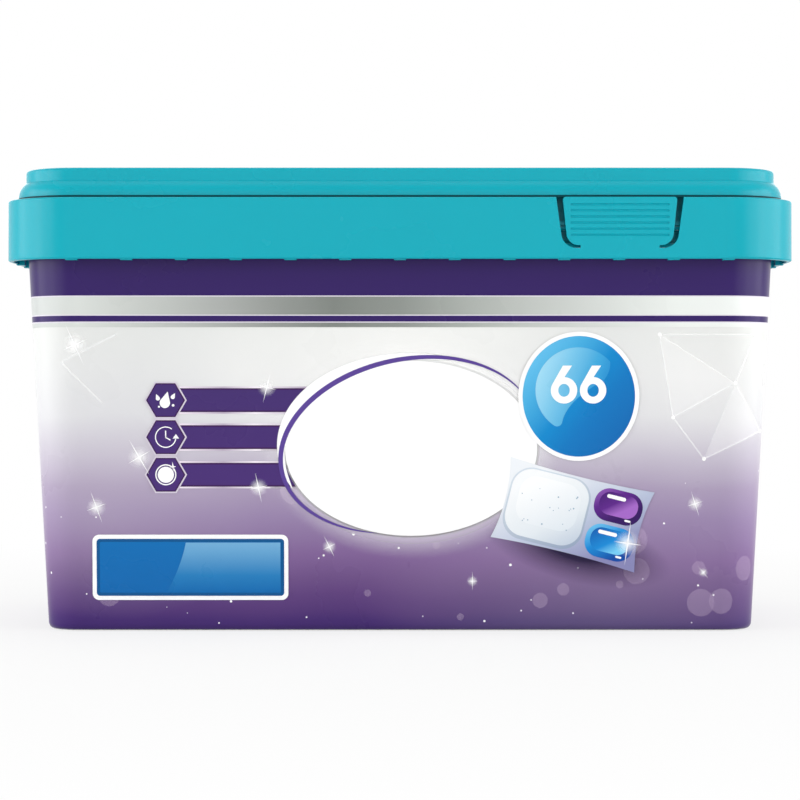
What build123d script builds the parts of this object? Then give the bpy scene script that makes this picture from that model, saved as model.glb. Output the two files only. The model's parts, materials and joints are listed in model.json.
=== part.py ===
from build123d import *
import math
import os

import numpy as np

# A hinged-lid tub of dishwasher pacs, in millimetres. +Z is up, the front faces -Y, and the
# origin is on the floor under the middle of the tub. The tapered tub carries a snap-on
# collar; the lid hangs on a living hinge at the collar's back, and a press tab cut into the
# collar's front wall swings in on its own thin root.

# ------------------------------------------------------------------ driving sizes

# collar, the widest piece
collar_length = 230.0
collar_width = 130.0
collar_corner = 21.5
collar_low_z = 107.5
collar_high_z = 125.2
collar_wall = 1.4
collar_edge_round = 0.6
web_thick = 1.2
mouth_wall = 1.2
mouth_depth = 4.9
mouth_rise = 4.2

# tub
rim_z = 117.0
draft_deg = 3.1
tub_wall = 1.2
tub_floor = 1.5
tub_corner = 16.5
tub_foot_round = 2.0
tub_inner_round = 3.0
foot_width = 6.0
foot_recess = 0.8
rim_flange_out = 2.2
rim_flange_thick = 1.2
ledge_z = 110.8
ledge_thick = 1.2

# snap lugs inside the collar's lower edge
lug_pitch = 15.7
lug_width = 3.4
lug_reach = 1.7
lug_height = 3.2
lug_drop = 0.3

# press tab in the collar's front wall
tab_centre_x = 63.0
tab_top_half = 16.45
tab_foot_half = 15.0
tab_foot_z = 111.4
tab_corner = 3.5
tab_top_corner = 0.9
tab_slot_top = 1.85
tab_slot_foot = 1.3
tab_slot_low = 0.8
tab_root_height = 1.4
tab_root_inset = 0.2
tab_lip_height = 1.2
tab_lip_reach = 0.5
tab_lip_margin = 4.5
tab_press_deg = 6.5
grip_count = 6
grip_pitch = 1.75
grip_low_z = 114.3
grip_radius = 0.3
grip_margin = 0.9

# lid
lid_high_z = 134.1
lid_shoulder_z = 126.0
lid_shoulder_round = 5.5
lid_step = 2.2
lid_top_round = 1.0
lid_panel = 1.3
lid_skirt_depth = 6.2
lid_recess = 1.2
lid_border = 5.5
seal_wall = 1.2
seal_overlap = 5.0
latch_half = 12.0
latch_wall = 1.2
latch_setback = 1.6
latch_nose = 0.6
latch_nose_height = 1.4
latch_window_margin = 2.0

# living hinge at the collar's back
hinge_half = 80.0
hinge_thick = 0.5
hinge_above_collar = 0.6

# pacs in the tub
pac_count = 66
pacs_per_group = 6
pac_length = 36.0
pac_width = 32.0
pac_thick = 14.0
pac_edge_round = 6.0
pac_corner = 9.0
pac_tries = 6
pac_stray = 4.0
pac_yaw = 32.0
pac_slack = 2.0
pac_tilt_limit = 0.5
pour_seed = 5
pour_grid = 1.0
pour_rises = 17
pour_bearings = 24
pour_edge = 1e-6

# clearances
skirt_gap = 4.2
ledge_gap = 0.9
seat_gap = 0.2
lid_gap = 1.6
seal_gap = 0.5
web_notch_gap = 2.0
pac_gap = 0.25

# ------------------------------------------------------------------ sizes that follow

draft = math.tan(math.radians(draft_deg))
front_y = -collar_width / 2
front_inner_y = front_y + collar_wall
back_y = collar_width / 2
rim_length = collar_length - 2 * (collar_wall + skirt_gap)
rim_width = collar_width - 2 * (collar_wall + skirt_gap)
floor_z = foot_recess + tub_floor
web_low_z = rim_z + seat_gap
web_high_z = web_low_z + web_thick
mouth_low_z = web_low_z - mouth_depth
mouth_high_z = web_low_z + mouth_rise
lid_low_z = lid_shoulder_z - lid_skirt_depth
panel_low_z = lid_high_z - lid_recess - lid_panel
seal_low_z = mouth_high_z - seal_overlap
hinge_z = collar_high_z + hinge_above_collar
hinge_y = back_y - collar_wall / 2
root_half = tab_foot_half - tab_corner - tab_root_inset


def grown(outline, amount):
    """A rounded outline (length, width, corner radius) moved outwards by amount."""
    return tuple(size + step * amount for size, step in zip(outline, (2, 2, 1)))


def tub_outline(z, inset=0.0):
    """The tapered tub's outline at height z, moved in by inset."""
    return grown((rim_length, rim_width, tub_corner), -inset - (rim_z - z) * draft)


collar_outline = (collar_length, collar_width, collar_corner)
collar_inner = grown(collar_outline, -collar_wall)
mouth_outline = tub_outline(mouth_low_z, tub_wall + seat_gap)
mouth_inner = grown(mouth_outline, -mouth_wall)
lid_outline = grown(collar_inner, -lid_gap)
cap_outline = grown(lid_outline, -lid_step)
seal_outline = grown(mouth_inner, -seal_gap)

# ------------------------------------------------------------------ shapes used more than once


def slab(outline, low, high):
    """An upright block with a rounded outline."""
    return Pos(0, 0, low) * extrude(RectangleRounded(*outline), amount=high - low)


def ring(outer, inner, low, high):
    """The wall between two rounded outlines."""
    return slab(outer, low, high) - slab(inner, low, high)


def tapered(low, high, inset=0.0):
    """A block that follows the tub's draft, moved in by inset."""
    base = RectangleRounded(*tub_outline(low, inset))
    return Pos(0, 0, low) * extrude(base, amount=high - low, taper=-draft_deg)


def block(x, y, z):
    """A box from three (low, high) pairs."""
    size = [high - low for low, high in (x, y, z)]
    middle = [(high + low) / 2 for low, high in (x, y, z)]
    return Pos(*middle) * Box(*size)


def rounded_foot(body, radius):
    """Rounds the edges of a block's bottom face."""
    return fillet(body.edges().group_by(Axis.Z)[0], radius)


def rounded_top(body, radius):
    """Rounds the edges of a block's top face."""
    return fillet(body.edges().group_by(Axis.Z)[-1], radius)


def front_plate(top_half, foot_half, foot_z, corner, top_z, y_low, y_high):
    """A plate in the front wall, tapered downwards with rounded lower corners."""
    outline = Polygon(
        (tab_centre_x - top_half, top_z),
        (tab_centre_x - foot_half, foot_z),
        (tab_centre_x + foot_half, foot_z),
        (tab_centre_x + top_half, top_z),
        align=None,
    )
    outline = fillet(outline.vertices().group_by(Axis.Y)[0], corner)
    face = Plane.XZ * outline
    return Pos(0, y_high, 0) * extrude(face, amount=y_high - y_low)


# ------------------------------------------------------------------ pieces


def make_tub():
    """The printed tub: tapered walls, a footed floor, a rim flange and a snap ledge."""
    body = rounded_foot(tapered(0, rim_z), tub_foot_round)
    flange = grown(tub_outline(rim_z), rim_flange_out)
    body += slab(flange, rim_z - rim_flange_thick, rim_z)
    body += slab(grown(collar_inner, -ledge_gap), ledge_z, ledge_z + ledge_thick)
    body -= rounded_foot(tapered(floor_z, rim_z + 1, tub_wall), tub_inner_round)
    return body - slab(tub_outline(0, foot_width), 0, foot_recess)


def make_lugs():
    """Snap lugs along the collar's inner wall, under the tub's ledge."""
    lugs = []
    low = collar_low_z - lug_drop
    for length, turn, reach in (
        (collar_length, 0, collar_width),
        (collar_width, 90, collar_length),
    ):
        straight = length / 2 - collar_corner + lug_width / 2
        per_side = int(straight // lug_pitch)
        outer = reach / 2 - collar_wall / 2
        inner = reach / 2 - collar_wall - lug_reach
        for step in range(-per_side, per_side + 1):
            x = step * lug_pitch
            lug = block(
                (x - lug_width / 2, x + lug_width / 2),
                (inner, outer),
                (low, low + lug_height),
            )
            lugs += [Rot(0, 0, turn + side) * lug for side in (0, 180)]
    return lugs


def make_collar():
    """The collar: outer skirt, seat web over the tub's rim, mouth wall and snap lugs."""
    skirt = slab(collar_outline, collar_low_z, collar_high_z)
    skirt = rounded_top(rounded_foot(skirt, collar_edge_round), collar_edge_round)
    body = skirt - slab(collar_inner, collar_low_z, collar_high_z)
    body += ring(grown(collar_inner, collar_wall / 2), mouth_inner, web_low_z, web_high_z)
    body += ring(mouth_outline, mouth_inner, mouth_low_z, mouth_high_z)
    body += make_lugs()
    window_half = tab_top_half + tab_slot_top
    window = front_plate(
        window_half,
        tab_foot_half + tab_slot_foot,
        tab_foot_z - tab_slot_low,
        tab_corner + tab_slot_low,
        collar_high_z,
        front_y - 1,
        front_inner_y,
    )
    root = block(
        (tab_centre_x - root_half, tab_centre_x + root_half),
        (front_y - 1, front_inner_y),
        (tab_foot_z - tab_root_height, tab_foot_z),
    )
    notch = block(
        (tab_centre_x - window_half, tab_centre_x + window_half),
        (front_inner_y, front_inner_y + web_notch_gap),
        (web_low_z, web_high_z),
    )
    return body - [window, root, notch]


def make_press_tab():
    """The press tab: a tapered plate with grip grooves and a lip behind its top edge."""
    plate = front_plate(
        tab_top_half,
        tab_foot_half,
        tab_foot_z,
        tab_corner,
        collar_high_z,
        front_y,
        front_inner_y,
    )
    corners = plate.edges().filter_by(Axis.Y).group_by(Axis.Z)[-1]
    plate = fillet(corners, tab_top_corner)
    lip_half = tab_top_half - tab_lip_margin
    lip_high = collar_high_z - collar_edge_round
    plate += block(
        (tab_centre_x - lip_half, tab_centre_x + lip_half),
        (front_inner_y - collar_wall / 2, front_inner_y + tab_lip_reach),
        (lip_high - tab_lip_height, lip_high),
    )
    for step in range(grip_count):
        groove = Cylinder(grip_radius, 2 * (tab_foot_half - grip_margin))
        z = grip_low_z + step * grip_pitch
        plate -= Pos(tab_centre_x, front_y, z) * Rot(0, 90, 0) * groove
    return plate


def make_tab_root():
    """The thin root that the press tab bends on, level with the collar's wall."""
    return block(
        (tab_centre_x - root_half, tab_centre_x + root_half),
        (front_y, front_inner_y),
        (tab_foot_z - tab_root_height, tab_foot_z),
    )


def make_lid():
    """The lid: stepped cap on a rounded shoulder, skirt, seal ring and latch tongue."""
    shoulder_high = lid_shoulder_z + lid_shoulder_round
    outer = rounded_top(slab(lid_outline, lid_low_z, shoulder_high), lid_shoulder_round)
    outer += rounded_top(slab(cap_outline, lid_shoulder_z, lid_high_z), lid_top_round)
    inner = rounded_top(
        slab(grown(lid_outline, -lid_panel), lid_low_z, shoulder_high - lid_panel),
        lid_shoulder_round - lid_panel,
    )
    inner += slab(grown(cap_outline, -lid_panel), lid_shoulder_z, panel_low_z)
    body = outer - inner
    body -= slab(grown(cap_outline, -lid_border), lid_high_z - lid_recess, lid_high_z)
    seal_inner = grown(seal_outline, -seal_wall)
    body += ring(seal_outline, seal_inner, seal_low_z, panel_low_z + lid_panel / 2)
    skirt_y = front_inner_y + lid_gap
    window_half = tab_top_half + tab_slot_top + latch_window_margin
    body -= block(
        (tab_centre_x - window_half, tab_centre_x + window_half),
        (skirt_y - 1, skirt_y + lid_panel),
        (lid_low_z, lid_shoulder_z),
    )
    tongue_y = skirt_y + latch_setback
    body += block(
        (tab_centre_x - latch_half, tab_centre_x + latch_half),
        (tongue_y, tongue_y + latch_wall),
        (lid_low_z, lid_shoulder_z + lid_shoulder_round / 2),
    )
    body += block(
        (tab_centre_x - latch_half, tab_centre_x + latch_half),
        (tongue_y - latch_nose, tongue_y + latch_wall),
        (lid_low_z, lid_low_z + latch_nose_height),
    )
    return body


def make_hinge_web():
    """The living hinge: a thin strip from the collar's top edge to the lid's back face."""
    lid_back_y = back_y - collar_wall - lid_gap
    across = (-hinge_half, hinge_half)
    rise = block(
        across,
        (hinge_y - hinge_thick / 2, hinge_y + hinge_thick / 2),
        (collar_high_z, hinge_z + hinge_thick / 2),
    )
    reach = block(
        across,
        (lid_back_y, hinge_y + hinge_thick / 2),
        (hinge_z - hinge_thick / 2, hinge_z + hinge_thick / 2),
    )
    return rise + reach


def make_pac():
    """One pac, lying flat about the origin: a rounded pillow."""
    pillow = slab((pac_length, pac_width, pac_corner), -pac_thick / 2, pac_thick / 2)
    return rounded_top(rounded_foot(pillow, pac_edge_round), pac_edge_round)


# ------------------------------------------------------------------ filling the tub


def pac_support(directions, growth):
    """How far a flat pac, grown all round, reaches in each direction."""
    core_x = pac_length / 2 - pac_corner
    core_y = pac_width / 2 - pac_corner
    core_r = pac_corner - pac_edge_round
    core_z = pac_thick / 2 - pac_edge_round
    x, y, z = np.abs(directions).T
    reach = core_x * x + core_y * y + core_r * np.hypot(x, y) + core_z * z
    return reach + pac_edge_round + growth


def pac_normals():
    """Unit vectors all round a flat pac, with its faces' own directions among them."""
    rise = np.linspace(-math.pi / 2, math.pi / 2, pour_rises)
    around = np.linspace(0, 2 * math.pi, pour_bearings, endpoint=False)
    rise, around = (grid.ravel() for grid in np.meshgrid(rise, around))
    flat = np.cos(rise)
    return np.stack([flat * np.cos(around), flat * np.sin(around), np.sin(rise)], axis=1)


def tilt_matrix(yaw, slope_x, slope_y):
    """The turn that lays a pac on a slope, after turning it by yaw."""
    up = np.array([-slope_x, -slope_y, 1.0])
    up /= np.linalg.norm(up)
    along = np.array([math.cos(yaw), math.sin(yaw), 0.0])
    along -= up * along.dot(up)
    along /= np.linalg.norm(along)
    return np.stack([along, np.cross(up, along), up], axis=1)


class Heap:
    """The height of the filling over a grid of points, as pacs are laid in."""

    def __init__(self):
        self.length, self.width, corner = tub_outline(floor_z, tub_wall + pac_gap)
        self.normals = pac_normals()
        self.x = np.arange(-self.length / 2, self.length / 2, pour_grid)
        self.y = np.arange(-self.width / 2, self.width / 2, pour_grid)
        grid_x, grid_y = np.meshgrid(self.x, self.y, indexing="ij")
        out_x = np.maximum(np.abs(grid_x) - (self.length / 2 - corner), 0)
        out_y = np.maximum(np.abs(grid_y) - (self.width / 2 - corner), 0)
        outside = np.hypot(out_x, out_y) > corner
        self.height = np.where(outside, np.inf, floor_z)

    def faces(self, x, y, turn, growth):
        """Lower and upper surface of a turned pac over the cells around (x, y)."""
        reach = math.hypot(pac_length, pac_width) / 2 + growth
        i = slice(*np.searchsorted(self.x, (x - reach, x + reach)))
        j = slice(*np.searchsorted(self.y, (y - reach, y + reach)))
        dx, dy = np.meshgrid(self.x[i] - x, self.y[j] - y, indexing="ij")
        normals = self.normals @ turn.T
        tilted = np.abs(normals[:, 2]) > pour_edge
        nx, ny, nz = normals[tilted].T
        offsets = pac_support(self.normals[tilted], growth)
        planes = (offsets - dx[..., None] * nx - dy[..., None] * ny) / nz
        upper = np.min(planes[..., nz > 0], axis=-1)
        lower = np.max(planes[..., nz < 0], axis=-1)
        return i, j, lower, upper

    def level(self, share_x, share_y):
        """The filling's mean height around a place given as shares of the floor."""
        i = np.searchsorted(self.x, share_x * self.length)
        j = np.searchsorted(self.y, share_y * self.width)
        arm = int(pac_width / 4 / pour_grid)
        return self.height[i - arm:i + arm, j - arm:j + arm].mean()

    def slope(self, x, y):
        """The slope of the filling under a pac, held to the steepest that one lies at."""
        step = int(pac_width / 4 / pour_grid)
        i, j = np.searchsorted(self.x, x), np.searchsorted(self.y, y)
        near = self.height[[i - step, i + step, i, i], [j, j, j - step, j + step]]
        if np.isinf(near).any():
            return np.zeros(2)
        found = (near[1::2] - near[::2]) / (2 * step * pour_grid)
        return found * min(1, pac_tilt_limit / max(np.linalg.norm(found), pac_tilt_limit))

    def drop(self, chance, cell_x, cell_y):
        """Tries a few lies near a place, and keeps the one where the pac comes down lowest."""
        best = None
        for attempt in range(pac_tries):
            x, y = (cell_x, cell_y) + chance.uniform(-pac_stray, pac_stray, 2)
            yaw = math.radians(chance.uniform(-pac_yaw, pac_yaw))
            turn = tilt_matrix(yaw, *self.slope(x, y))
            reach_x, reach_y = pac_support(turn[:2], pac_gap)
            limit_x = self.length / 2 - reach_x
            limit_y = self.width / 2 - reach_y
            x, y = np.clip((x, y), (-limit_x, -limit_y), (limit_x, limit_y))
            i, j, lower, upper = self.faces(x, y, turn, pac_gap)
            z = (self.height[i, j] - lower)[upper > lower].max()
            if best is None or z < best[2]:
                best = (x, y, z, turn)
        x, y, z, turn = best
        i, j, lower, upper = self.faces(x, y, turn, 0)
        covered = np.where(upper > lower, upper + z, -np.inf)
        self.height[i, j] = np.maximum(self.height[i, j], covered)
        return best


def make_pacs():
    """The filling, laid loosely on its lowest spots and grouped from the bottom up."""
    chance = np.random.default_rng(pour_seed)
    heap = Heap()
    columns = int(heap.length // (pac_length + pac_slack))
    rows = int(heap.width // (pac_width + pac_slack))
    cells = [
        ((column + 0.5) / columns - 0.5, (row + 0.5) / rows - 0.5)
        for column in range(columns)
        for row in range(rows)
    ]
    places = []
    while len(places) < pac_count:
        chance.shuffle(cells)
        share_x, share_y = min(cells, key=lambda cell: heap.level(*cell))
        places.append(heap.drop(chance, share_x * heap.length, share_y * heap.width))
    places.sort(key=lambda place: place[2])
    pac = make_pac()
    groups = []
    for start in range(0, pac_count, pacs_per_group):
        solids = []
        for x, y, z, turn in places[start:start + pacs_per_group]:
            plane = Plane(origin=(x, y, z), x_dir=tuple(turn[:, 0]), z_dir=tuple(turn[:, 2]))
            solids.append(plane.location * pac)
        groups.append(solids)
    return groups


# ------------------------------------------------------------------ writing the pieces


def write(name, solids):
    """Writes one node, from one solid or a list of them."""
    shape = Compound([solid for part in solids for solid in part.solids()])
    export_step(shape, f"parts/{name}.step")


os.makedirs("parts", exist_ok=True)
write("tub", [make_tub()])
write("collar", [make_collar()])
write("press_tab", [make_press_tab()])
write("tab_root", [make_tab_root()])
write("lid", [make_lid()])
write("hinge_web", [make_hinge_web()])
for number, group in enumerate(make_pacs(), start=1):
    write(f"pacs_{number:02d}", group)
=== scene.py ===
import json
import math
import random

import bmesh
import bpy
import numpy
from mathutils import Matrix, Vector
from mathutils.bvhtree import BVHTree


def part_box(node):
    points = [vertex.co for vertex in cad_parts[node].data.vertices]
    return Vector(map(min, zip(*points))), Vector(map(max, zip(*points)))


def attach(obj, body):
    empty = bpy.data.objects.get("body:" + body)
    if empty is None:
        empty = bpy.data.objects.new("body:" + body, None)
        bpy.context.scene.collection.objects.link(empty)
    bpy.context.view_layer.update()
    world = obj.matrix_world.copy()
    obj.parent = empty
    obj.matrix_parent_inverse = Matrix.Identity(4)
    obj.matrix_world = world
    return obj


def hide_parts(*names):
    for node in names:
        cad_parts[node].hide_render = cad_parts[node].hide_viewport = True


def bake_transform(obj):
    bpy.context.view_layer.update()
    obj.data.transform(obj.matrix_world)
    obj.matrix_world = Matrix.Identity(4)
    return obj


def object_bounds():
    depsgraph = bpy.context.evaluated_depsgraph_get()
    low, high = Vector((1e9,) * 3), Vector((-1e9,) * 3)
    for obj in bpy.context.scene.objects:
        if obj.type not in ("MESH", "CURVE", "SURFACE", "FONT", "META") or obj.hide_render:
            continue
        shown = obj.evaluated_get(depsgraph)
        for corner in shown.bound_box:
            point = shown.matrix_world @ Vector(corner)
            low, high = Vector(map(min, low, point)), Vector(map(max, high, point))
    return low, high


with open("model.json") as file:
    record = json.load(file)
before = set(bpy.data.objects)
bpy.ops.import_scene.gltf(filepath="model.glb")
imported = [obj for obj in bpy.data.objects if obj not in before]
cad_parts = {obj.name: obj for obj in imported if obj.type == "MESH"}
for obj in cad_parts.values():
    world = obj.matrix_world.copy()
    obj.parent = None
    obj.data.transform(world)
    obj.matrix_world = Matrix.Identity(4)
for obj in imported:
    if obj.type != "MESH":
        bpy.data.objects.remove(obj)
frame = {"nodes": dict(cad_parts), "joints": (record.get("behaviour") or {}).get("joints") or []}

bl_info = {
    "name": "Hinged Tablet Tub",
    "version": (1, 0, 0),
    "blender": (4, 5, 0),
    "location": "View3D > Sidebar > Tablet Tub",
    "description": "Finishes a printed tub of dishwasher pacs with its collar, lid and contents",
    "category": "Object",
}

CAD_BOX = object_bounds()
MM = 0.001
PRINT = "tub_print"
CLOSURE = "closure_plastic"
FILM = "pac_film"
FILM_HALF = 0.15 * MM
PAC_NODES = sorted(name for name in frame["nodes"] if name.startswith("pacs_"))


def ink(red, green, blue):
    """A printed colour, from 0 to 255 a channel, as Blender's linear values."""
    values = []
    for channel in (red, green, blue):
        share = channel / 255
        low = share / 12.92
        high = ((share + 0.055) / 1.055) ** 2.4
        values.append(low if share <= 0.04045 else high)
    return tuple(values)


# ---------------------------------------------------------------- settings


def colour(label, about, default):
    return bpy.props.FloatVectorProperty(
        name=label, description=about, default=default, subtype="COLOR", size=3, min=0, max=1
    )


def length(label, about, default):
    return bpy.props.FloatProperty(
        name=label, description=about, default=default * MM, unit="LENGTH", precision=5
    )


def count(label, about, default):
    return bpy.props.IntProperty(name=label, description=about, default=default, min=0)


class TubColours(bpy.types.PropertyGroup):
    closure: colour("Closure", "Plastic of the collar, tab and lid", ink(0, 169, 186))
    plastic: colour("Tub plastic", "Unprinted plastic inside the tub", ink(236, 237, 234))
    purple: colour("Purple", "The dark band and lines round the tub", ink(48, 24, 95))
    sky: colour("Sky", "The badge's lit upper left", ink(96, 190, 234))
    white: colour("White", "The white shapes of the print", ink(255, 255, 255))
    powder: colour("Powder", "The pacs' white powder", ink(238, 241, 245))
    gel_purple: colour("Purple gel", "One of each pac's two gel pods", ink(88, 40, 140))
    gel_blue: colour("Blue gel", "The other gel pod", ink(18, 116, 205))


class PrintSizes(bpy.types.PropertyGroup):
    lift: length("Layer", "How far each layer of print lies over the one below", 0.04)
    ellipse_half: length("Ellipse", "Half the white ellipse's length", 36.5)
    badge_half: length("Badge", "Half the round badge's width", 17.5)
    hexagon_half: length("Hexagon", "From a hexagon's middle to its side corner", 6.15)
    disc_density: bpy.props.FloatProperty(
        name="Discs", description="Soft discs to a square metre, near the foot", default=4200, min=0
    )
    dot_density: bpy.props.FloatProperty(
        name="Dots", description="Bright dots to a square metre, near the foot", default=9000, min=0
    )
    seed: count("Seed", "Sets where the pattern's discs and dots fall", 4)


class PacSizes(bpy.types.PropertyGroup):
    half_length: length("Half length", "From a pac's middle to the end of its film", 17.8)
    half_width: length("Half width", "From a pac's middle to the side of its film", 15.8)
    half_height: length("Half height", "From a pac's seam to its top", 6.8)
    seam: length("Seam", "Width of the flat film round a pac", 1.5)
    pod_length: length("Pod", "Length of each gel pod along the pac", 11.5)
    gap: length("Gap", "Film between the powder and the pods", 0.9)
    seed: count("Seed", "Sets which way round each pac lies", 11)


class StageSizes(bpy.types.PropertyGroup):
    distance: length("Camera distance", "From the camera to the collar's front", 764)
    lens: bpy.props.FloatProperty(
        name="Lens", description="Focal length in millimetres", default=120.15, min=10
    )
    floor: length("Floor", "Half the floor's width", 3000)
    light: bpy.props.FloatProperty(
        name="Light", description="Strength of all the lamps together", default=1.0, min=0
    )


def colours():
    return bpy.context.scene.tub_colours


def sizes():
    return bpy.context.scene.print_sizes


# ---------------------------------------------------------------- the tub's walls


class Wall:
    """The outer wall of a piece, measured on its CAD mesh at two heights of its slope."""

    def __init__(self, node, low, high):
        mesh = frame["nodes"][node].data
        points = [vertex.co for vertex in mesh.vertices]
        faces = [tuple(polygon.vertices) for polygon in mesh.polygons]
        self.tree = BVHTree.FromPolygons(points, faces)
        self.far = 2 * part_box(node)[1].x
        self.low, self.high = low, high
        self.low_section = self.measure(low)
        self.high_section = self.measure(high)

    def reach(self, origin, direction):
        """Where a level ray from outside first meets the wall."""
        hit = self.tree.ray_cast(Vector(origin), Vector(direction).normalized())[0]
        if hit is None:
            raise RuntimeError(f"no wall at {origin}")
        return hit

    def measure(self, z):
        """Half length, half width and corner radius at height z."""
        half_x = self.reach((self.far, 0, z), (-1, 0, 0)).x
        half_y = self.reach((0, self.far, z), (0, -1, 0)).y
        corner = Vector((half_x, half_y, z))
        cut = (self.reach(corner + Vector((MM, MM, 0)), (-1, -1, 0)) - corner).length
        return half_x, half_y, cut / (math.sqrt(2) - 1)

    def section(self, z):
        """The same measures on the straight slope of the wall."""
        share = (z - self.low) / (self.high - self.low)
        return tuple(
            low + share * (high - low) for low, high in zip(self.low_section, self.high_section)
        )

    def outline(self, z):
        """The same measures with the rounding at the foot taken off."""
        half_x, half_y, corner = self.section(z)
        inset = half_x - self.reach((self.far, 0, z), (-1, 0, 0)).x
        return half_x - inset, half_y - inset, corner - inset

    def ring(self, z, lift, steps=24):
        """Points round the wall at height z, counter-clockwise from above."""
        half_x, half_y, corner = self.outline(z)
        points = []
        for quarter in range(4):
            sign_x = 1 if quarter in (0, 3) else -1
            sign_y = 1 if quarter in (0, 1) else -1
            for step in range(steps + 1):
                angle = math.radians(90 * (quarter + step / steps))
                x = sign_x * (half_x - corner) + (corner + lift) * math.cos(angle)
                y = sign_y * (half_y - corner) + (corner + lift) * math.sin(angle)
                points.append((x, y, z))
        return points

    def point(self, x, z, lift):
        """The front's point at x, round its corners too, lifted off the wall."""
        half_x, half_y, corner = self.section(z)
        flat = half_x - corner
        beyond = max(abs(x) - flat, 0)
        angle = math.asin(min(beyond / corner, 1))
        across = math.copysign(beyond + lift * math.sin(angle), x)
        middle = math.copysign(min(abs(x), flat), x)
        return Vector((middle + across, corner - half_y - (corner + lift) * math.cos(angle), z))


wall = Wall("tub", 20 * MM, 90 * MM)


# ---------------------------------------------------------------- meshes


def add_piece(name, mesh, body, slot_name, *materials):
    """Links a finished mesh as a piece that rides on a body, or on none."""
    piece = bpy.data.objects.new(name, mesh)
    bpy.context.scene.collection.objects.link(piece)
    for material in materials:
        mesh.materials.append(material)
    if body:
        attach(piece, body)
    return piece


def mesh_from(name, points, faces, smooth=False):
    mesh = bpy.data.meshes.new(name)
    mesh.from_pydata([tuple(point) for point in points], [], faces)
    mesh.update()
    if smooth:
        mesh.shade_smooth()
    return mesh


def settled(holder):
    """The mesh that an object's curve or modifiers make; the object is removed."""
    bpy.context.view_layer.update()
    graph = bpy.context.evaluated_depsgraph_get()
    mesh = bpy.data.meshes.new_from_object(holder.evaluated_get(graph))
    bpy.data.objects.remove(holder)
    return mesh


def band_mesh(name, heights, layer, around_wall=wall):
    """A sleeve right round a wall, through the given heights in millimetres."""
    rings = [around_wall.ring(z * MM, layer * sizes().lift) for z in heights]
    around = len(rings[0])
    points = [point for ring in rings for point in ring]
    faces = []
    for row in range(len(rings) - 1):
        for step in range(around):
            here = row * around + step
            side = row * around + (step + 1) % around
            faces.append((here, side, side + around, here + around))
    return mesh_from(name, points, faces, True)


def wrap(name, heights, layer, material):
    """A band of print right round the tub."""
    return add_piece(name, band_mesh(name, heights, layer), "tub", PRINT, material)


def fill(name, outlines):
    """A flat mesh inside closed outlines of (x, z), with holes where they nest."""
    curve = bpy.data.curves.new(name, "CURVE")
    curve.dimensions = "2D"
    curve.fill_mode = "BOTH"
    for outline in outlines:
        spline = curve.splines.new("POLY")
        spline.points.add(len(outline) - 1)
        for point, (x, z) in zip(spline.points, outline):
            point.co = (x, z, 0, 1)
        spline.use_cyclic_u = True
    holder = bpy.data.objects.new(name, curve)
    bpy.context.scene.collection.objects.link(holder)
    return settled(holder)


BEND_START = 80
BEND_STEP = 2
STEEP_START = 92
STEEP_STEP = 0.5


def cut_at_corners(shell):
    """Cuts a flat print into upright strips where the wall turns its corners."""
    reach = max(abs(vertex.co.x) for vertex in shell.verts)
    place = BEND_START
    while place < reach:
        for side in (-place, place):
            parts = shell.verts[:] + shell.edges[:] + shell.faces[:]
            bmesh.ops.bisect_plane(shell, geom=parts, plane_co=(side, 0, 0), plane_no=(1, 0, 0))
        place += BEND_STEP if place < STEEP_START else STEEP_STEP


def see_through(material):
    alpha = material.node_tree.nodes["Principled BSDF"].inputs["Alpha"]
    return alpha.is_linked or alpha.default_value < 1


def sheer(piece):
    """Keeps a see-through layer of print from darkening what it lies on."""
    piece.visible_shadow = False
    piece.visible_diffuse = False


def printed(name, shapes, layer, material):
    """Flat print laid on the tub's front; a shape is an outline and any holes, in millimetres."""
    shell = bmesh.new()
    for outlines in shapes:
        shell.from_mesh(fill(name, outlines))
    cut_at_corners(shell)
    lift = layer * sizes().lift
    for vertex in shell.verts:
        vertex.co = wall.point(vertex.co.x * MM, vertex.co.y * MM, lift)
    shell.normal_update()
    wrong = [face for face in shell.faces if face.normal.y > 0]
    bmesh.ops.reverse_faces(shell, faces=wrong)
    mesh = bpy.data.meshes.new(name)
    shell.to_mesh(mesh)
    shell.free()
    piece = add_piece(name, mesh, "tub", PRINT, material)
    if see_through(material):
        sheer(piece)
    return piece


# ---------------------------------------------------------------- outlines, in millimetres


def arc(centre, radii, start, end, steps):
    """Points along an ellipse from start to end, in degrees."""
    points = []
    for step in range(steps + 1):
        angle = math.radians(start + (end - start) * step / steps)
        x = centre[0] + radii[0] * math.cos(angle)
        z = centre[1] + radii[1] * math.sin(angle)
        points.append((x, z))
    return points


def ellipse(centre, radii, steps=96):
    return arc(centre, radii, 0, 360, steps)[:-1]


def disc(centre, radius, steps=40):
    return ellipse(centre, (radius, radius), steps)


def bow(start, middle, end, steps=16):
    """A curve from start to end that leans towards middle."""
    points = []
    for step in range(steps + 1):
        share = step / steps
        weights = ((1 - share) ** 2, 2 * share * (1 - share), share**2)
        pulls = list(zip(weights, (start, middle, end)))
        points.append(tuple(sum(pull * place[axis] for pull, place in pulls) for axis in (0, 1)))
    return points


def rounded_box(low, high, corner, steps=8):
    """A rectangle with rounded corners."""
    points = []
    for quarter, (x, z) in enumerate(
        ((high[0], high[1]), (low[0], high[1]), (low[0], low[1]), (high[0], low[1]))
    ):
        inward_x = -corner if x == high[0] else corner
        inward_z = -corner if z == high[1] else corner
        middle = (x + inward_x, z + inward_z)
        points += arc(middle, (corner, corner), 90 * quarter, 90 * quarter + 90, steps)
    return points


def turned(outline, centre, degrees):
    """An outline turned counter-clockwise about a centre."""
    cos, sin = math.cos(math.radians(degrees)), math.sin(math.radians(degrees))
    points = []
    for x, z in outline:
        across, up = x - centre[0], z - centre[1]
        points.append((centre[0] + across * cos - up * sin, centre[1] + across * sin + up * cos))
    return points


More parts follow.
